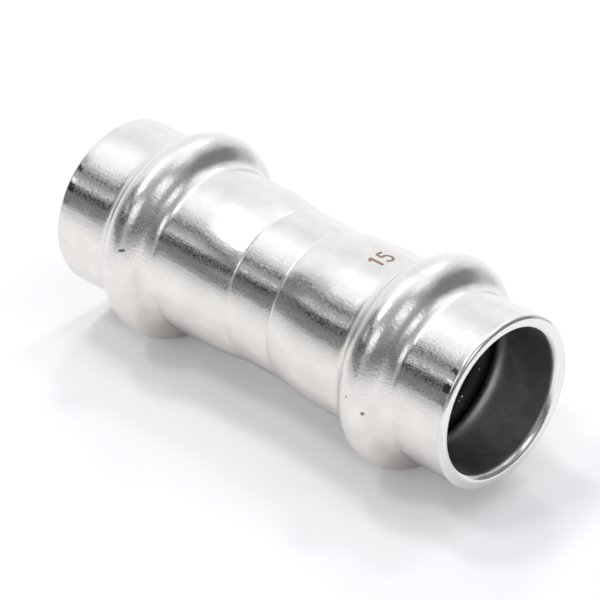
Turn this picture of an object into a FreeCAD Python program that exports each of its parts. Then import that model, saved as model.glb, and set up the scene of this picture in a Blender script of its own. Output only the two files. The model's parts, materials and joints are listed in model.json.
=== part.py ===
import FreeCAD, Part
import math
import os

os.makedirs("parts", exist_ok=True)

# Straight press coupling for a 15 mm thin-walled pipe, V profile.
#
# The steel body is one hydroformed tube, open at both ends.  From the middle
# outwards each half has a narrow waist that stops the pipe, a flare, a
# cylindrical socket, a rounded bead that holds a rubber sealing ring, and a lip
# that guides the pipe in.  The wall is the same up to the lip.  The lip's bore
# runs level and its outer skin opens, so it thickens a little to the mouth.
#
# The axis is X, +Z is up, and the origin is the middle of the axis.
# All lengths are in millimetres, and "outer" and "bore" name the two skins.

# ---------------------------------------------------------------- dimensions

pipe_diameter = 15.0        # outside diameter of the pipe that goes in
pipe_clearance = 0.10       # radial room between the pipe and the socket
wall = 1.40                 # steel wall, measured square to the surface

waist_length = 5.65         # straight band between the two creases
stop_step = 0.56            # how far the waist's bore stands in from the socket's
crease_radius = 0.50        # outer hollow where the waist meets the flare
witness_width = 0.18        # shallow ring that the forming die leaves in each crease
witness_depth = 0.015       # how far that ring lies under the waist's skin
flare_length = 6.35         # crease to socket, along the axis
socket_length = 3.50        # straight wall that carries the pipe
lip_length = 6.30           # straight wall from the bead's foot to the mouth
lip_taper = 1.5             # degrees that the lip's outer skin opens towards the mouth

bead_foot_radius = 1.75     # outer hollow on each side of the bead
ring_section = 2.50         # thickness of the sealing ring
ring_proud = 0.20           # how far the ring stands into the bore
ring_crown_gap = 0.10       # room between the ring and the bead's roof
ring_side_gap = 0.15        # room between the ring and the bead's sides

rim_outer_round = 0.28      # rounding of the mouth's outer edge, in walls
rim_bore_round = 0.58       # rounding of the mouth's inner edge, in walls

# ------------------------------------------------------------- derived sizes

bore_radius = pipe_diameter / 2 + pipe_clearance
outer_radius = bore_radius + wall
waist_outer_radius = outer_radius - stop_step

ring_inner_radius = bore_radius - ring_proud
ring_centre_radius = ring_inner_radius + ring_section / 2
chamber_radius = ring_section / 2 + ring_side_gap
chamber_roof = ring_inner_radius + ring_section + ring_crown_gap
chamber_centre_radius = chamber_roof - chamber_radius
bead_radius = chamber_radius + wall

AXIS = FreeCAD.Vector(1, 0, 0)
CENTRE = FreeCAD.Vector(0, 0, 0)
MIRROR_PLANE = FreeCAD.Vector(1, 0, 0)


def at(x, r):
    """A point of the profile, x along the axis and r out from it."""
    return FreeCAD.Vector(x, 0, r)


def on_circle(centre, radius, angle):
    """The point of a circle in the profile's plane, angle in radians."""
    return centre + at(radius * math.cos(angle), radius * math.sin(angle))


def arc(centre, radius, start, end):
    """The arc of a circle in the profile's plane between two angles."""
    points = [on_circle(centre, radius, a) for a in (start, (start + end) / 2, end)]
    return Part.Arc(*points).toShape()


def line(start, end):
    return Part.LineSegment(start, end).toShape()


def angle_from(centre, point):
    return math.atan2(point.z - centre.z, point.x - centre.x)


# ------------------------------------------------- centres shared by both skins

# The flare is one arc.  It passes through the crease and runs out level at the socket.
flare_start = waist_length / 2
flare_end = flare_start + flare_length
flare_radius = (flare_length ** 2 + stop_step ** 2) / (2 * stop_step)
flare_centre = at(flare_end, outer_radius - flare_radius)

# The witness ring's section is the arc that has its width and depth on the waist's skin.
witness_radius = ((witness_width / 2) ** 2 + witness_depth ** 2) / (2 * witness_depth)
witness_height = waist_outer_radius - witness_depth + witness_radius

# The crease's hollow touches the waist band and the flare.
crease_height = waist_outer_radius + crease_radius
crease_rise = crease_height - flare_centre.z
crease_reach = math.sqrt((flare_radius + crease_radius) ** 2 - crease_rise ** 2)
crease_centre = at(flare_end - crease_reach, crease_height)
crease_turn = angle_from(flare_centre, crease_centre)

# The bead's foot on the socket side touches the socket and the bead.
foot_height = outer_radius + bead_foot_radius
foot_rise = foot_height - chamber_centre_radius
foot_reach = math.sqrt((bead_radius + bead_foot_radius) ** 2 - foot_rise ** 2)
socket_end = flare_end + socket_length
bead_x = socket_end + foot_reach
bead_centre = at(bead_x, chamber_centre_radius)
foot_centre = at(socket_end, foot_height)
foot_turn = angle_from(bead_centre, foot_centre)

# The lip's outer line leaves the socket's radius under the middle of the bead
# and opens by the taper.  The foot on that side touches the bead and this line.
taper = math.radians(lip_taper)
lip_along = at(math.cos(taper), math.sin(taper))
lip_outward = at(-math.sin(taper), math.cos(taper))
lip_origin = at(bead_x, outer_radius)
to_foot_line = lip_origin + lip_outward * bead_foot_radius - bead_centre
along = to_foot_line.dot(lip_along)
foot_span = (bead_radius + bead_foot_radius) ** 2 - to_foot_line.Length ** 2
lip_foot_distance = -along + math.sqrt(along ** 2 + foot_span)
lip_foot_centre = bead_centre + to_foot_line + lip_along * lip_foot_distance
lip_foot_turn = angle_from(bead_centre, lip_foot_centre)
lip_start = lip_origin + lip_along * lip_foot_distance
mouth_x = lip_start.x + lip_length


def half_skin(depth, opening):
    """Edges of one skin from crease to mouth, and its two ends.

    depth is the distance under the outer skin: 0 is the outer skin itself and
    wall is the bore.  Both skins share every centre, so the wall is constant up
    to the lip.  opening is the angle that the lip's line makes with the axis.
    """
    hollow = crease_radius + depth
    flare = flare_radius - depth
    foot = bead_foot_radius + depth
    bead = bead_radius - depth
    down = -math.pi / 2
    up = math.pi / 2

    crease_edge = arc(crease_centre, hollow, down, crease_turn - math.pi)
    flare_edge = arc(flare_centre, flare, crease_turn, up)
    socket_edge = line(at(flare_end, outer_radius - depth), at(socket_end, outer_radius - depth))
    foot_edge = arc(foot_centre, foot, down, foot_turn - math.pi)
    bead_edge = arc(bead_centre, bead, foot_turn, lip_foot_turn)
    lip_foot_edge = arc(lip_foot_centre, foot, lip_foot_turn - math.pi, opening + down)
    lip_foot_end = on_circle(lip_foot_centre, foot, opening + down)
    mouth_end = at(mouth_x, lip_foot_end.z + (mouth_x - lip_foot_end.x) * math.tan(opening))
    lip_edge = line(lip_foot_end, mouth_end)

    edges = [crease_edge, flare_edge, socket_edge, foot_edge, bead_edge, lip_foot_edge, lip_edge]
    return edges, on_circle(crease_centre, hollow, down), mouth_end


def mirrored(edge):
    return edge.mirror(CENTRE, MIRROR_PLANE)


def flipped(point):
    return at(-point.x, point.z)


def coupling_body():
    """The hydroformed steel tube: one closed profile turned about the axis."""
    outer_edges, outer_waist, outer_mouth = half_skin(0, taper)
    bore_edges, bore_waist, bore_mouth = half_skin(wall, 0)
    half = outer_edges + bore_edges + [line(outer_mouth, bore_mouth)]
    waist = [line(flipped(outer_waist), outer_waist), line(flipped(bore_waist), bore_waist)]
    edges = half + [mirrored(edge) for edge in half] + waist
    profile = Part.Wire(Part.__sortEdges__(edges))
    tube = Part.Face(profile).revolve(CENTRE, AXIS, 360)
    tube = tube.cut([witness_ring(-1), witness_ring(1)])
    tube = round_mouths(tube, outer_mouth.z, rim_outer_round * wall)
    return round_mouths(tube, bore_mouth.z, rim_bore_round * wall)


def witness_ring(side):
    """What the die's edge presses out of the outer crease, on one side of the waist."""
    return Part.makeTorus(witness_height, witness_radius, at(side * flare_start, 0), AXIS)


def round_mouths(tube, radius, rounding):
    """Round the two mouth edges that lie at this radius."""
    rims = []
    for edge in tube.Edges:
        if not isinstance(edge.Curve, Part.Circle):
            continue
        at_mouth = abs(abs(edge.Curve.Center.x) - mouth_x) < 0.001
        if at_mouth and abs(edge.Curve.Radius - radius) < 0.001:
            rims.append(edge)
    return tube.makeFillet(rounding, rims)


def seal_ring(side):
    """A rubber ring that lies loose in the bead, on one side of the waist."""
    return Part.makeTorus(ring_centre_radius, ring_section / 2, at(side * bead_x, 0), AXIS)


solids = {
    "coupling_body": coupling_body(),
    "seal_ring_left": seal_ring(-1),
    "seal_ring_right": seal_ring(1),
}

for name, solid in solids.items():
    solid.exportStep("parts/" + name + ".step")
    print(name, "valid", solid.isValid(), "volume", round(solid.Volume, 2))

print("length", round(2 * mouth_x, 3), "bead diameter", round(2 * (chamber_centre_radius + bead_radius), 3))
print("bead at", round(bead_x, 3), "socket from", round(flare_end, 3), "to", round(socket_end, 3))
print("insertion depth", round(mouth_x - flare_start, 3))
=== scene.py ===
"""Looks of a straight press coupling for a 15 mm pipe.

The steel body is turned again here as one smooth mesh, from the sizes that the
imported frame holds, with the tool marks that the plain solid leaves out.  The
sealing rings and the size number are pieces of their own.

Profiles are lists of (x, r) in millimetres: x runs along the axis and r out
from it.  Meshes are in metres, in the frame's axes.
"""
import json
import math
import bpy
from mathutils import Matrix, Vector


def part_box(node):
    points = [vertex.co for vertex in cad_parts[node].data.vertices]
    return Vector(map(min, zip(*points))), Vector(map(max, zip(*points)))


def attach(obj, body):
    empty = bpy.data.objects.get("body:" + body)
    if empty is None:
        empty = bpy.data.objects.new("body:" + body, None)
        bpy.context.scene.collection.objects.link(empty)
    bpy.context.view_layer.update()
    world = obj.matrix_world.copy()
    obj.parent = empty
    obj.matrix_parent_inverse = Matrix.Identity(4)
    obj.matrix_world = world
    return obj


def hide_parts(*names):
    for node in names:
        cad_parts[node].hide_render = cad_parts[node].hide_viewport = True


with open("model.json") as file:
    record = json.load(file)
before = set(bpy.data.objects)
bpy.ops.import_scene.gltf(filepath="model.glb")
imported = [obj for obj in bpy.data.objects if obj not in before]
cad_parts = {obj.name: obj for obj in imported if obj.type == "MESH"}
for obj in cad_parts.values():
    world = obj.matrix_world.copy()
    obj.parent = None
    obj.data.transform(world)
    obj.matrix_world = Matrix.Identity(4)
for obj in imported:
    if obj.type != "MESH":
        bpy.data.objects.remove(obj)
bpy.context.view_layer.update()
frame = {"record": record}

MM = 0.001


# ------------------------------------------------------------------- the camera

CAMERA_PLACE = Vector((0.213297, -0.219380, 0.200077))      # in metres
CAMERA_LENS = 216.82        # in millimetres, as the sensor's width is
CAMERA_SENSOR = 36.0
CAMERA_SHIFT = (-0.0077, -0.00425)      # in widths of the picture


def make_camera():
    """A long lens that looks down at the middle of the bore's axis."""
    data = bpy.data.cameras.new("camera")
    data.lens = CAMERA_LENS
    data.sensor_width = CAMERA_SENSOR
    data.shift_x, data.shift_y = CAMERA_SHIFT
    data.clip_start = 0.01
    data.clip_end = 20.0
    camera = bpy.data.objects.new("camera", data)
    camera.location = CAMERA_PLACE
    camera.rotation_mode = "QUATERNION"
    camera.rotation_quaternion = (-CAMERA_PLACE).to_track_quat("-Z", "Y")
    bpy.context.scene.collection.objects.link(camera)
    bpy.context.scene.camera = camera


# -------------------------------------------------------- sizes, in millimetres

def in_mm(value):
    return value / MM


body_low, body_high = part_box("coupling_body")
ring_low, ring_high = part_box("seal_ring_right")
mounts = frame["record"]["mounts"]
socket_mount = next(mount for mount in mounts if mount["name"] == "pipe_socket_right")

mouth_x = in_mm(body_high.x)
crown_radius = in_mm(min(-body_low.y, body_high.y, -body_low.z, body_high.z))
ring_section = in_mm(ring_high.x - ring_low.x)
ring_outer_radius = in_mm(ring_high.z)
bead_x = in_mm(ring_high.x + ring_low.x) / 2
bore_radius = socket_mount["dims"]["r_mm"]
socket_middle = in_mm(socket_mount["pos_m"][0])
socket_length = socket_mount["dims"]["length_mm"]

wall = 1.40                 # steel wall, measured square to the surface
ring_side_gap = 0.15        # room between the ring and the bead's sides
waist_length = 5.65         # straight band between the two creases
stop_step = 0.56            # how far the waist stands in from the socket
bead_foot_radius = 1.75     # outer hollow on each side of the bead
lip_taper = 1.5             # degrees that the lip's outer skin opens towards the mouth
rim_outer_round = 0.28      # rounding of the mouth's outer edge, in walls
rim_bore_round = 0.58       # rounding of the mouth's inner edge, in walls
witness_width = 0.18        # shallow ring that the die left in each crease
witness_depth = 0.015       # how far that ring lies under the waist's skin
witness_reach = 0.7         # how far the crease's fine points run each way, in its widths
bright_rim = 0.1            # the mouth's rounding is bright down to this far from the bore

outer_radius = bore_radius + wall
waist_radius = outer_radius - stop_step
flare_start = waist_length / 2
flare_end = socket_middle - socket_length / 2
socket_end = socket_middle + socket_length / 2
flare_length = flare_end - flare_start
flare_radius = (flare_length ** 2 + stop_step ** 2) / (2 * stop_step)
bead_radius = ring_section / 2 + ring_side_gap + wall
bead_height = crown_radius - bead_radius
witness_radius = ((witness_width / 2) ** 2 + witness_depth ** 2) / (2 * witness_depth)


def around(x, r, turn):
    """The point at x along the axis and r out from it, turned by degrees from the top."""
    angle = math.radians(turn)
    return (x, -r * math.sin(angle), r * math.cos(angle))


# ---------------------------------------------------------- outlines of profiles

def arc(centre, radius, start, end, steps):
    """Points of a circle from one angle to another, both ends included."""
    angles = [start + (end - start) * i / steps for i in range(steps + 1)]
    return [(centre[0] + radius * math.cos(a), centre[1] + radius * math.sin(a)) for a in angles]


def straight(start, end, steps):
    """Points of a line, both ends included."""
    shares = [i / steps for i in range(steps + 1)]
    return [(start[0] + (end[0] - start[0]) * s, start[1] + (end[1] - start[1]) * s) for s in shares]


def angle_from(centre, point):
    return math.atan2(point[1] - centre[1], point[0] - centre[0])


def rounded(before, corner, after, radius, steps):
    """The rounding of a profile's corner, from the line before it to the line after it."""
    corner, before, after = Vector(corner), Vector(before), Vector(after)
    back = (before - corner).normalized()
    onward = (after - corner).normalized()
    half_angle = back.angle(onward) / 2
    centre = corner + (back + onward).normalized() * radius / math.sin(half_angle)
    start = corner + back * radius / math.tan(half_angle)
    end = corner + onward * radius / math.tan(half_angle)
    first = angle_from(centre, start)
    turn = (angle_from(centre, end) - first + math.pi) % (2 * math.pi) - math.pi
    return arc(centre, radius, first, first + turn, steps)


def half_skin(depth, opening):
    """One skin from the end of the flare to the bead and the lip, and the lip's two ends.

    depth is the distance under the outer skin: 0 is the outer skin, wall the bore.
    opening is the angle that the lip's line makes with the axis.
    """
    down = -math.pi / 2
    foot = bead_foot_radius + depth
    bead = bead_radius - depth
    bead_centre = (bead_x, bead_height)
    foot_centre = (socket_end, outer_radius + bead_foot_radius)
    foot_turn = angle_from(bead_centre, foot_centre)

    taper = math.radians(lip_taper)
    along = Vector((math.cos(taper), math.sin(taper)))
    outward = Vector((-math.sin(taper), math.cos(taper)))
    lip_line = Vector((bead_x, outer_radius))
    offset = lip_line + outward * bead_foot_radius - Vector(bead_centre)
    slide = offset.dot(along)
    span = (bead_radius + bead_foot_radius) ** 2 - offset.length_squared
    lip_foot = Vector(bead_centre) + offset + along * (math.sqrt(slide ** 2 + span) - slide)
    lip_turn = angle_from(bead_centre, lip_foot)
    lip_start = lip_foot + Vector((math.sin(opening), -math.cos(opening))) * foot
    lip_end = (mouth_x, lip_start.y + (mouth_x - lip_start.x) * math.tan(opening))

    skin = outer_radius - depth
    points = straight((flare_end, skin), (socket_end, skin), steps=10)
    points += arc(foot_centre, foot, down, foot_turn - math.pi, steps=14)[1:]
    points += arc(bead_centre, bead, foot_turn, lip_turn, steps=40)[1:]
    points += arc(lip_foot, foot, lip_turn - math.pi, opening + down, steps=14)[1:]
    return points, tuple(lip_start), lip_end


def flare_height(x, depth):
    """Height of the flare's arc, which runs out level at the socket."""
    centre = outer_radius - flare_radius
    return centre + math.sqrt((flare_radius - depth) ** 2 - (flare_end - x) ** 2)


def witness_line():
    """The outer crease, with the shallow ring that the die left in it."""
    points = []
    steps = 12
    reach = witness_reach * witness_width
    for i in range(steps + 1):
        t = reach * (2 * i / steps - 1)
        skin = max(waist_radius, flare_height(flare_start + t, 0))
        sag = witness_radius - math.sqrt(witness_radius ** 2 - t ** 2)
        ring = waist_radius - witness_depth + sag
        points.append((flare_start + t, min(skin, ring)))
    return points


def outer_half():
    """The outer skin from the middle of the waist to the mouth."""
    crease = witness_line()
    waist = straight((0, waist_radius), crease[0], steps=8)
    first = crease[-1][0]
    steps = 28
    flare = [first + (flare_end - first) * i / steps for i in range(1, steps)]
    flare = [(x, flare_height(x, 0)) for x in flare]
    points, lip_start, lip_end = half_skin(0, math.radians(lip_taper))
    return waist[:-1] + crease + flare + points, lip_start, lip_end


def bore_half():
    """The bore from the middle of the waist to the mouth."""
    lowest = waist_radius - wall
    waist = straight((0, lowest), (flare_start, lowest), steps=4)
    steps = 14
    flare = [flare_start + flare_length * i / steps for i in range(1, steps)]
    flare = [(x, max(lowest, flare_height(x, wall))) for x in flare]
    points, lip_start, lip_end = half_skin(wall, 0)
    return waist + flare + points, lip_start, lip_end


def body_profile():
    """The closed outline of the wall, and those points of its right half that lie in the bore."""
    outer, outer_lip, outer_corner = outer_half()
    bore, bore_lip, bore_corner = bore_half()
    outer_rim = rounded(outer_lip, outer_corner, bore_corner, rim_outer_round * wall, steps=10)
    bore_rim = rounded(outer_corner, bore_corner, bore_lip, rim_bore_round * wall, steps=10)
    skin = outer + straight(outer_lip, outer_rim[0], steps=12)[1:] + outer_rim[1:]
    inside = bore_rim + straight(bore_rim[-1], bore_lip, steps=8)[1:] + bore[-2::-1]
    right = skin + inside
    left = [(-x, r) for x, r in right[-2:0:-1]]
    rim_end = bore_corner[1] + bright_rim
    dull = {(x, r) for x, r in inside if r < rim_end or x < bore_lip[0]}
    return right + left, dull


# ------------------------------------------------------------------------ meshes

def new_piece(name, points, faces, materials):
    """A mesh object in the scene, from points in metres."""
    mesh = bpy.data.meshes.new(name)
    mesh.from_pydata(points, [], faces)
    for material in materials:
        mesh.materials.append(material)
    piece = bpy.data.objects.new(name, mesh)
    bpy.context.scene.collection.objects.link(piece)
    return piece


def turned(name, profile, segments, materials, material_of):
    """A closed profile, listed clockwise, turned about X.

    material_of gives the material slot of each band from its two points.
    """
    count = len(profile)
    points = []
    for s in range(segments):
        angle = 2 * math.pi * s / segments
        points += [(x * MM, r * MM * math.sin(angle), r * MM * math.cos(angle)) for x, r in profile]
    faces = []
    for s in range(segments):
        here, there = s * count, (s + 1) % segments * count
        for i in range(count):
            j = (i + 1) % count
            faces.append((here + i, here + j, there + j, there + i))
    piece = new_piece(name, points, faces, materials)
    slots = [material_of(profile[i], profile[(i + 1) % count]) for i in range(count)]
    piece.data.polygons.foreach_set("material_index", slots * segments)
    piece.data.polygons.foreach_set("use_smooth", [True] * len(faces))
    piece.data.update()
    return piece


BODY_SEGMENTS = 180
RING_SEGMENTS = 192


def make_body(outside, inside):
    """The steel tube, outside and bore in one closed mesh."""
    profile, dull = body_profile()

    def material_of(start, end):
        return int(all((abs(x), r) in dull for x, r in (start, end)))

    return turned("steel_body", profile, BODY_SEGMENTS, [outside, inside], material_of)


def make_ring(name, side, material):
    """A sealing ring: a round section turned about the axis."""
    radius = ring_section / 2
    centre = (side * bead_x, ring_outer_radius - radius)
    section = arc(centre, radius, 0, 2 * math.pi, steps=48)[:-1]
    return turned(name, section[::-1], RING_SEGMENTS, [material], lambda start, end: 0)


NUMBER_X = 10.15            # middle of the digits, along the axis
NUMBER_TURN = -1.8          # degrees from the top towards the viewer's side
DIGIT_HEIGHT = 1.80         # between the middles of the strokes
DIGIT_WIDTH = 1.00
DIGIT_STEP = 1.42           # from one digit to the next
STROKE = 0.30               # width of the marked line
FINE_STEP = 0.12            # longest straight piece of a stroke that bends with the skin
NUMBER_RELIEF = 0.012       # how far the mark stands over the skin


def digit_lines():
    """Middle lines of the strokes of 1 and 5, across and up from each digit's middle."""
    right, top = DIGIT_WIDTH / 2, DIGIT_HEIGHT / 2
    stem, flag_drop = 0.12, 0.42
    one = [[(stem, -top), (stem, top)], [(stem, top), (stem - flag_drop, top - flag_drop)]]
    neck, bar_end, bowl = -0.36, right - 0.08, 0.56
    bowl_middle = (right - bowl, bowl - top)
    turn = arc(bowl_middle, bowl, math.radians(125), math.radians(-150), steps=16)
    five = [[(bar_end, top), (neck, top)], [(neck, top), turn[0]], turn]
    return one, five


def stroke_faces(line):
    """A ribbon of the stroke's width along a line, as points (across, up) and faces."""
    points, faces = [], []
    for i, here in enumerate(line):
        before = line[max(i - 1, 0)]
        after = line[min(i + 1, len(line) - 1)]
        along = Vector((after[0] - before[0], after[1] - before[1])).normalized()
        side = Vector((-along.y, along.x)) * STROKE / 2
        points += [(here[0] + side.x, here[1] + side.y), (here[0] - side.x, here[1] - side.y)]
    for i in range(len(line) - 1):
        faces.append((2 * i, 2 * i + 1, 2 * i + 3, 2 * i + 2))
    return points, faces


def fine(line):
    """The line with points close enough together to bend with the skin."""
    points = []
    for start, end in zip(line, line[1:]):
        steps = max(1, round(math.dist(start, end) / FINE_STEP))
        points += straight(start, end, steps)[:-1]
    return points + [line[-1]]


def make_number(material):
    """The pipe's size, marked round the socket with its feet towards the mouth."""
    flat, faces = [], []
    for place, digit in zip((-0.5, 0.5), digit_lines()):
        for line in digit:
            ribbon, quads = stroke_faces(fine(line))
            faces += [tuple(len(flat) + k for k in quad) for quad in quads]
            flat += [(place * DIGIT_STEP + across, up) for across, up in ribbon]
    points = []
    for across, up in flat:
        turn = NUMBER_TURN - math.degrees(across / outer_radius)
        points.append(Vector(around(NUMBER_X - up, outer_radius + NUMBER_RELIEF, turn)) * MM)
    return new_piece("size_number", points, faces, [material])


# --------------------------------------------------------------------- materials

WHITE = (1.0, 1.0, 1.0, 1.0)
NOISE_SPAN = (0.35, 0.65)   # most of a noise's values lie in here


def grey(value, warmth=0.0):
    """A grey.  Warmth is the share of blue that it lacks, and it lacks a quarter as much green."""
    return (value, value * (1 - warmth / 4), value * (1 - warmth), 1.0)


class Tree:
    """A short way to write node trees.  Places, heights and distances are in millimetres."""

    def __init__(self, tree):
        self.nodes = tree.nodes
        self.links = tree.links
        self.nodes.clear()

    def add(self, kind, inputs=(), **settings):
        """A node with these settings.  Its inputs are linked to sockets or set to values."""
        node = self.nodes.new(kind)
        for name, value in settings.items():
            setattr(node, name, value)
        for key, value in dict(inputs).items():
            if isinstance(value, bpy.types.NodeSocket):
                self.links.new(value, node.inputs[key])
            else:
                node.inputs[key].default_value = value
        return node

    def math(self, operation, a, b=0.0):
        return self.add("ShaderNodeMath", {0: a, 1: b}, operation=operation).outputs[0]

    def vector(self, operation, a, b=(0, 0, 0)):
        """A vector operation whose result is a vector."""
        return self.add("ShaderNodeVectorMath", {0: a, 1: b}, operation=operation).outputs[0]

    def measure(self, operation, a, b=(0, 0, 0)):
        """A vector operation whose result is a number."""
        return self.add("ShaderNodeVectorMath", {0: a, 1: b}, operation=operation).outputs[1]

    def parts(self, vector):
        """The three numbers of a vector."""
        return self.add("ShaderNodeSeparateXYZ", {0: vector}).outputs

    def ramp(self, value, low, high, to_low, to_high, smooth=True):
        """to_low where the value is low or less, to_high where it is high or more."""
        kind = "SMOOTHSTEP" if smooth else "LINEAR"
        inputs = {0: value, 1: low, 2: high, 3: to_low, 4: to_high}
        return self.add("ShaderNodeMapRange", inputs, interpolation_type=kind).outputs[0]

    def mix(self, share, a, b):
        """Colour a where the share is 0, and colour b where it is 1."""
        return self.add("ShaderNodeMix", {0: share, 6: a, 7: b}, data_type="RGBA").outputs[2]

    def noise(self, place, scale, detail=2.0, roughness=0.5):
        """Soft blobs, about so many to the millimetre as the scale, with values around 0.5."""
        inputs = {"Vector": place, "Scale": scale, "Detail": detail, "Roughness": roughness}
        return self.add("ShaderNodeTexNoise", inputs).outputs["Fac"]

    def place(self):
        """The point of the surface."""
        coordinates = self.add("ShaderNodeTexCoord").outputs["Object"]
        return self.vector("MULTIPLY", coordinates, (1 / MM,) * 3)

    def spot(self, place, centre, solid, reach, strength):
        """A round spot: its full strength up to the solid radius, nothing from its reach on."""
        distance = self.measure("DISTANCE", place, centre)
        return self.ramp(distance, solid, reach, strength, 0.0)

    def bump(self, height, distance, normal=None):
        inputs = {"Height": height, "Distance": distance * MM, "Strength": 1.0}
        if normal is not None:
            inputs["Normal"] = normal
        return self.add("ShaderNodeBump", inputs).outputs[0]

    def rays(self):
        """1 for rays straight from the camera, and 1 for those off or through a surface."""
        path = self.add("ShaderNodeLightPath").outputs
        mirrored = self.math("MAXIMUM", path["Is Glossy Ray"], path["Is Transmission Ray"])
        return path["Is Camera Ray"], mirrored

    def surface(self, **inputs):
        """The material's shader.  Underlines stand for the spaces in its sockets' names."""
        inputs = {name.replace("_", " "): value for name, value in inputs.items()}
        shader = self.add("ShaderNodeBsdfPrincipled", inputs)
        self.add("ShaderNodeOutputMaterial", {"Surface": shader.outputs[0]})


def new_material(name):
    material = bpy.data.materials.new(name)
    material.use_nodes = True
    return material, Tree(material.node_tree)


STEEL = 0.79                # how much light the steel returns
STEEL_WARMTH = 0.070
PATCHES = 0.03              # share by which soft patches of the skin are lighter and darker
# Cut steel at each mouth, lighter than the skin: partly its own colour, partly a painted highlight
# on the rim.
CUT_STEEL_HIGHLIGHT = grey(0.84, 0.05)
CUT_HIGHLIGHT_LENGTH = 0.35             # length of the lighter steel at each mouth, in millimetres: the cut, partly a painted highlight

# Heights of the skin's unevenness, in millimetres.
WAVES = 0.012               # slow waves
WAVE_SCALE = (0.28, 0.55, 0.55)     # waves to the millimetre along X, Y and Z
DRAWN_LINES = 0.007         # lines along the axis
LINE_SCALE = (0.35, 4.0, 4.0)       # the same for the lines
PEEL = 0.015                # the coarser skin of the beads
GRAIN = 0.006               # the fine grain
PEEL_START = 0.4            # the coarser skin fades from this far inside the bead's radius
PEEL_REACH = 4.0            # to this far from the bead's middle
PEEL_ELSEWHERE = 0.35       # where this share of it is left
GRAIN_END = (1.4, 0.7)      # grain and matte fade out between these distances from a mouth

# Roughness.
POLISH = 0.05               # the smoothest steel
MATTE = (0.08, 0.22)        # what the grain adds, at least and at most
MATTE_SPAN = (0.32, 0.68)   # values of the grain's noise where it adds so much
BLUNT_EDGE = 0.40           # what is added on the lower half of each mouth's outer edge
BLUNT_START = (0.50, 0.35)  # it sets in between these distances from the mouth
BLUNT_RADIUS = (8.80, 8.90)     # and these distances from the axis,
BLUNT_HEIGHT = (0.5, 3.0)       # and ends between these heights over the axis

# Small dark spots on the beads, colour only.
DARK_SPOT_COLOUR = (0.045, 0.040, 0.025, 1.0)
DARK_SPOT_COVER = 0.85            # how far a spot's colour covers the steel
DARK_SPOT_EDGE = (0.3, 1.5)       # where that starts to fade and where it ends, in the spot's radii
DARK_SPOTS = (                    # x along the axis, degrees from the top, radius
    (18.32, 89.8, 0.22),
    (16.56, 83.0, 0.11),
    (-15.78, 71.9, 0.15),
    (-15.58, 71.6, 0.19),
    (-15.38, 71.0, 0.15),
)


def steel_outside():
    """Drawn and tumbled stainless: bright, with a fine grain that is coarser on the beads, and
    lighter at each mouth's cut, partly a painted highlight.
    """
    material, tree = new_material("bright_steel")
    place = tree.place()
    x, _, height = tree.parts(place)
    axial = tree.math("ABSOLUTE", x)
    from_axis = tree.measure("LENGTH", tree.vector("MULTIPLY", place, (0.0, 1.0, 1.0)))
    from_bead = tree.math("ABSOLUTE", tree.math("SUBTRACT", axial, bead_x))
    on_bead = tree.ramp(from_bead, bead_radius - PEEL_START, PEEL_REACH, 1.0, PEEL_ELSEWHERE)
    not_rim = tree.ramp(axial, mouth_x - GRAIN_END[0], mouth_x - GRAIN_END[1], 1.0, 0.0)

    waves = tree.noise(tree.vector("MULTIPLY", place, WAVE_SCALE), scale=1.0, detail=1.0)
    lines = tree.noise(tree.vector("MULTIPLY", place, LINE_SCALE), scale=1.0)
    peel = tree.noise(place, scale=3.2, roughness=0.6)
    grain = tree.noise(place, scale=5.0, detail=1.5)
    speckle = tree.noise(place, scale=5.0, detail=1.5, roughness=0.6)
    normal = tree.bump(waves, WAVES)
    normal = tree.bump(lines, DRAWN_LINES, normal)
    normal = tree.bump(tree.math("MULTIPLY", peel, on_bead), PEEL, normal)
    normal = tree.bump(tree.math("MULTIPLY", grain, not_rim), GRAIN, normal)

    patch = tree.ramp(tree.noise(place, scale=0.35, detail=3.0), *NOISE_SPAN, 0.0, 1.0)
    colour = tree.mix(patch, grey(STEEL * (1 + PATCHES), STEEL_WARMTH),
                      grey(STEEL * (1 - PATCHES), STEEL_WARMTH))
    # The lighter cut steel at each mouth: partly a painted highlight on the rim.
    cut_highlight = tree.ramp(axial, mouth_x - CUT_HIGHLIGHT_LENGTH, mouth_x - CUT_HIGHLIGHT_LENGTH / 2, 0.0, 1.0)
    colour = tree.mix(cut_highlight, colour, CUT_STEEL_HIGHLIGHT)
    for spot_x, turn, radius in DARK_SPOTS:
        r = bead_height + math.sqrt(bead_radius ** 2 - (abs(spot_x) - bead_x) ** 2)
        solid, reach = radius * DARK_SPOT_EDGE[0], radius * DARK_SPOT_EDGE[1]
        dark_spot = tree.spot(place, around(spot_x, r, turn), solid, reach, DARK_SPOT_COVER)
        colour = tree.mix(dark_spot, colour, DARK_SPOT_COLOUR)

    matte = tree.math("MULTIPLY", tree.ramp(speckle, *MATTE_SPAN, *MATTE), not_rim)
    start, full = (mouth_x - distance for distance in BLUNT_START)
    blunt = tree.ramp(axial, start, full, 0.0, BLUNT_EDGE)
    blunt = tree.math("MULTIPLY", blunt, tree.ramp(from_axis, *BLUNT_RADIUS, 0.0, 1.0))
    blunt = tree.math("MULTIPLY", blunt, tree.ramp(height, *BLUNT_HEIGHT, 1.0, 0.0))
    rough = tree.math("ADD", tree.math("ADD", POLISH, matte), blunt)
    tree.surface(Base_Color=colour, Metallic=1.0, Roughness=rough, Normal=normal)
    return material


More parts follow.
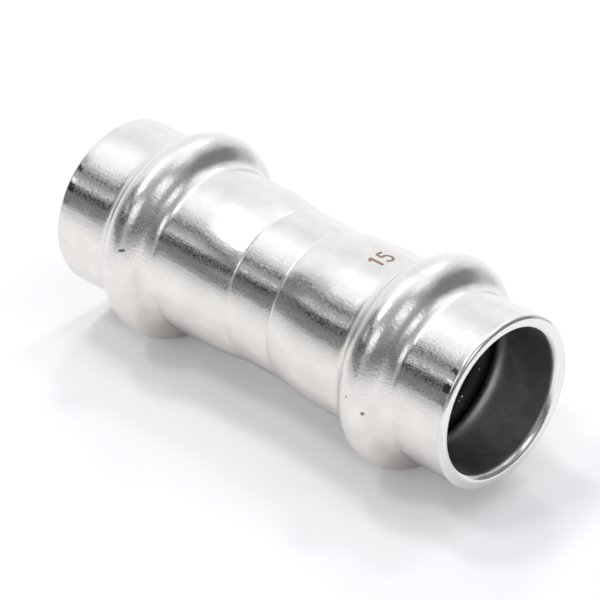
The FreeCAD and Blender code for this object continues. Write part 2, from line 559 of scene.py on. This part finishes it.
# The bore's colours are darker than the skin's: partly the bore's own duller tone with real stains,
# partly painted shade inside the mouth.
SHADED_BORE_STEEL = (0.57, 0.54, 0.545, 1.0)
SHADED_BORE_STAIN = (0.43, 0.40, 0.405, 1.0)
BORE_ROUGH = (0.36, 0.44)   # roughness, at least and at most
BORE_SPAN = (0.3, 0.7)      # values of the stains' noise where it is so
BORE_GRAIN = 0.008          # height of its grain, in millimetres
CHAMBER_HIGHLIGHT_STEEL = grey(0.90, 0.03)
CHAMBER_HIGHLIGHT_FADE = (-0.8, 0.2)  # the painted highlight's lighter steel ends between these, from the lip's start


def steel_inside():
    """The bore: the same steel left dull, its colour darkened inside the mouth, partly its own
    duller tone and partly painted shade, with soft stains, and lighter from the chamber inwards as a
    painted highlight.
    """
    material, tree = new_material("bore_steel_shade_and_highlight")
    place = tree.place()
    axial = tree.math("ABSOLUTE", tree.parts(place)[0])
    stain = tree.noise(place, scale=0.45, detail=3.0)
    colour = tree.mix(tree.ramp(stain, *NOISE_SPAN, 0.0, 1.0), SHADED_BORE_STEEL, SHADED_BORE_STAIN)
    _, lip_start, _ = half_skin(wall, 0)
    start, end = (lip_start[0] + distance for distance in CHAMBER_HIGHLIGHT_FADE)
    # Lighter steel from the chamber inwards: a painted highlight along the chamber's edge.
    colour = tree.mix(tree.ramp(axial, start, end, 1.0, 0.0), colour, CHAMBER_HIGHLIGHT_STEEL)
    rough = tree.ramp(stain, *BORE_SPAN, *BORE_ROUGH, smooth=False)
    normal = tree.bump(tree.noise(place, scale=4.0), BORE_GRAIN)
    tree.surface(Base_Color=colour, Metallic=1.0, Roughness=rough, Normal=normal)
    return material


RUBBER = (0.019, 0.017, 0.020, 1.0)
PALE_RUBBER = (0.027, 0.024, 0.028, 1.0)
RUBBER_ROUGH = (0.40, 0.60)     # at least and at most
RUBBER_GRAIN = 0.02             # height of its grain, in millimetres
# Painted glints: bright metallic specks with small domes on the black ring.
GLINT_SPECK = grey(0.90)
GLINT_SPECK_HEIGHT = 0.06
GLINT_SPECKS = (                  # x along the axis, distance from it, degrees from the top, radius
    (17.65, 7.85, 241.5, 0.10),
    (17.43, 7.65, 213.5, 0.09),
    (17.43, 7.65, 217.5, 0.13),
)


def rubber():
    """Black rubber with a few bright metallic specks as painted glints."""
    material, tree = new_material("seal_rubber")
    place = tree.place()
    grain = tree.noise(place, scale=3.0, detail=3.0)
    glints = 0.0
    for x, r, turn, radius in GLINT_SPECKS:
        glint = tree.spot(place, around(x, r, turn), radius / 2, radius, 1.0)
        glints = tree.math("MAXIMUM", glint, glints)
    colour = tree.mix(glints, tree.mix(grain, RUBBER, PALE_RUBBER), GLINT_SPECK)
    rough = tree.ramp(grain, *NOISE_SPAN, *RUBBER_ROUGH, smooth=False)
    normal = tree.bump(glints, GLINT_SPECK_HEIGHT, tree.bump(grain, RUBBER_GRAIN))
    tree.surface(Base_Color=colour, Metallic=glints, Roughness=rough, Normal=normal)
    return material


BROWN = (0.28, 0.165, 0.10, 1.0)
LIGHT_BROWN = (0.40, 0.26, 0.17, 1.0)


def marking():
    """Brown laser marking on the steel."""
    material, tree = new_material("laser_brown")
    speckle = tree.noise(tree.place(), scale=7.0)
    colour = tree.mix(tree.ramp(speckle, *NOISE_SPAN, 0.0, 1.0), BROWN, LIGHT_BROWN)
    tree.surface(Base_Color=colour, Metallic=0.3, Roughness=0.55)
    return material


# ------------------------------------------------------------- floor and lighting

def towards(azimuth, elevation):
    """The direction at these angles in degrees: azimuth from +X towards +Y, elevation up."""
    azimuth, elevation = math.radians(azimuth), math.radians(elevation)
    level = math.cos(elevation)
    return Vector((math.cos(azimuth) * level, math.sin(azimuth) * level, math.sin(elevation)))


FLOOR_SIZE = 4.0            # in metres
FLOOR_END = 0.065           # metres from the origin to the edge on the side of the next angle
FLOOR_END_TURN = 35.0       # azimuth of that side, in degrees
FLOOR_COLOUR = (0.92, 0.92, 0.92, 1.0)
FLOOR_GLOW = 0.13           # light of its own that the camera and reflections see
REFLECTED_SHADE_CORE = 2.0            # painted shade under the coupling: reflections see none of the glow nearer to the axis than this, in millimetres
REFLECTED_SHADE_REACH = 10.0           # and all of it from here on, or this far past a mouth


def white_sheet():
    """A faintly glossy white sheet, which reads as white where nothing shades it; in reflections its
    glow fades out under the coupling as painted shade.
    """
    material, tree = new_material("white_sheet")
    along, across, _ = tree.parts(tree.vector("ABSOLUTE", tree.place()))
    # Reflections lose the glow under the coupling: painted shade that the steel mirrors.
    beside = tree.math("MAXIMUM", tree.ramp(across, REFLECTED_SHADE_CORE, REFLECTED_SHADE_REACH, 0.0, 1.0),
                       tree.ramp(along, mouth_x, mouth_x + REFLECTED_SHADE_REACH, 0.0, 1.0))
    direct, mirrored = tree.rays()
    seen = tree.math("MAXIMUM", direct, tree.math("MULTIPLY", mirrored, beside))
    glow = tree.math("MULTIPLY", seen, FLOOR_GLOW)
    tree.surface(Base_Color=FLOOR_COLOUR, Roughness=0.10, Specular_IOR_Level=0.02,
                 Emission_Color=WHITE, Emission_Strength=glow)
    return material


def make_floor():
    """The sheet under the coupling, which ends on one side of it."""
    half = FLOOR_SIZE / 2
    level = Vector((0, 0, -crown_radius * MM))
    ahead, beside = towards(FLOOR_END_TURN, 0), towards(FLOOR_END_TURN + 90, 0)
    reaches = ((-half, -half), (FLOOR_END, -half), (FLOOR_END, half), (-half, half))
    corners = [ahead * a + beside * b + level for a, b in reaches]
    floor = new_piece("floor", corners, [(0, 1, 2, 3)], [white_sheet()])


# Each lamp: name, azimuth and elevation, how wide it looks, all in degrees, and its share of
# the light on a level white surface.
LAMPS = (
    ("front", -126, 62, 12, 0.120),
    ("side", 174, 65, 9, 0.115),
    ("back", 95, 60, 8, 0.070),
    ("low_back", 130, 42, 10, 0.065),
    ("right", 20, 64, 18, 0.045),
    ("top", 90, 86, 16, 0.070),
)
FILL = (0.520, 0.505, 0.550, 1.0)       # plain light of the room on everything


def make_lamps():
    """Soft lamps that cast the shadows.  Reflections don't show them, only the room's panels."""
    for name, azimuth, elevation, width, share in LAMPS:
        data = bpy.data.lights.new("lamp_" + name, "SUN")
        data.angle = math.radians(width)
        data.energy = share * math.pi / math.sin(math.radians(elevation))
        lamp = bpy.data.objects.new("lamp_" + name, data)
        lamp.rotation_mode = "QUATERNION"
        lamp.rotation_quaternion = towards(azimuth, elevation).to_track_quat("Z", "Y")
        lamp.visible_glossy = False
        bpy.context.scene.collection.objects.link(lamp)


# Each panel: name, azimuth and elevation of its middle, roll, half width, half height, soft
# edge across and up, all in degrees, and its level, where 1 is white.  Later ones cover
# earlier ones.
PANELS = (
    ("overhead", 123, 64, 14, 54, 23, 3, 18, 1.25),
    ("window", 136, 6, 73, 41, 41, 23, 16, 1.06),
    ("ceiling", 152, 64, 27, 43, 8, 3, 3, 1.25),
    ("overhead_end", 56, 67, 0, 14, 10, 9, 8, 1.20),
    ("left_wall", 183, 44, 15, 23, 9, 8, 4, 1.10),
    ("dark_right", 43, 9, -38, 23, 41, 5, 25, 0.24),
    ("dark_arc", -30, 12, -20, 48, 9, 14, 14, 0.12),
    ("front_card", -83, 39, 0, 13, 10, 5, 5, 1.28),
    ("side_card", -9, 44, -62, 18, 10, 7, 5, 1.28),
    ("upper_grey", -140, 45, 0, 22, 4, 8, 5, 0.45),
    ("mid_grey", -139, 31, 0, 18, 6, 5, 0.8, 0.46),
    ("dark_line", -139, 38.6, 0, 22, 2.5, 6, 0.8, 0.06),
    ("mid_left", -154, 28, 0, 9, 6, 3, 2, 0.20),
    ("streak", -134, 28.0, 0, 8, 1.5, 3, 0.5, 1.15),
    ("flag", -129, 20.8, 17, 27, 5.2, 5, 0.6, 0.03),
    ("flag_foot", -130, 9.4, 0, 30, 7.0, 6, 0.6, 0.22),
    ("lamp_side", 175, 64, 0, 5, 5, 2, 2, 3.6),
    ("lamp_front", -137, 57, 0, 6, 6, 2, 2, 3.6),
    ("lamp_back", 103, 47, 0, 5, 5, 2, 2, 3.6),
)
ROOM_LEVELS = ((0, 0.62), (35, 0.31), (90, 0.62))   # elevation and level of the bare room
ROOM_TINT = (1.0, 1.008, 1.06)          # reflections are a little blue


def panel_share(tree, direction, azimuth, elevation, roll, width, height, edge_across, edge_up):
    """1 inside a soft-edged panel of the room, 0 outside it."""
    ahead = towards(azimuth, elevation)
    azimuth, roll = math.radians(azimuth), math.radians(roll)
    level = Vector((-math.sin(azimuth), math.cos(azimuth), 0))
    upright = ahead.cross(level)
    across = level * math.cos(roll) + upright * math.sin(roll)
    up = upright * math.cos(roll) - level * math.sin(roll)
    axes = (tuple(axis) for axis in (ahead, across, up))
    in_front, beside, above = (tree.measure("DOT_PRODUCT", direction, axis) for axis in axes)
    turn = tree.math("ABSOLUTE", tree.math("ARCTAN2", beside, in_front))
    rise = tree.math("ABSOLUTE", tree.math("ARCSINE", above))
    share = 1.0
    for angle, half, edge in ((turn, width, edge_across), (rise, height, edge_up)):
        low, high = math.radians(half - edge), math.radians(half + edge)
        share = tree.math("MULTIPLY", tree.ramp(angle, low, high, 1.0, 0.0), share)
    return share


def make_room():
    """The camera sees plain white, reflections see the panels, and all else gets the fill."""
    world = bpy.data.worlds.new("room")
    world.use_nodes = True
    bpy.context.scene.world = world
    tree = Tree(world.node_tree)
    coordinates = tree.add("ShaderNodeTexCoord").outputs["Generated"]
    direction = tree.vector("NORMALIZE", coordinates)
    elevation = tree.math("ARCSINE", tree.parts(direction)[2])
    (low, base), (middle, wall_level), (high, top) = ROOM_LEVELS
    low, middle, high = (math.radians(angle) for angle in (low, middle, high))
    light = tree.ramp(elevation, low, middle, base, wall_level, False)
    rise = tree.ramp(elevation, middle, high, 0.0, top - wall_level, False)
    light = tree.math("ADD", light, rise)
    for _, *panel, level in PANELS:
        step = tree.math("SUBTRACT", level, light)
        share = panel_share(tree, direction, *panel)
        light = tree.math("ADD", light, tree.math("MULTIPLY", step, share))
    shown = tree.add("ShaderNodeVectorMath", {0: ROOM_TINT, "Scale": light}, operation="SCALE")
    direct, mirrored = tree.rays()
    colour = tree.mix(direct, tree.mix(mirrored, FILL, shown.outputs[0]), WHITE)
    background = tree.add("ShaderNodeBackground", {"Color": colour, "Strength": 1.0})
    tree.add("ShaderNodeOutputWorld", {"Surface": background.outputs[0]})


# ------------------------------------------------------------------ put together

make_camera()
make_room()
make_lamps()
make_floor()

bright = steel_outside()
dull = steel_inside()
black = rubber()

body = make_body(bright, dull)
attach(body, "root")
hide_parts("coupling_body")

for node, side in (("seal_ring_left", -1), ("seal_ring_right", 1)):
    ring = make_ring(node + "_rubber", side, black)
    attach(ring, "root")
    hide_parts(node)

number = make_number(marking())
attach(number, "root")

bpy.context.scene.view_settings.view_transform = "Standard"
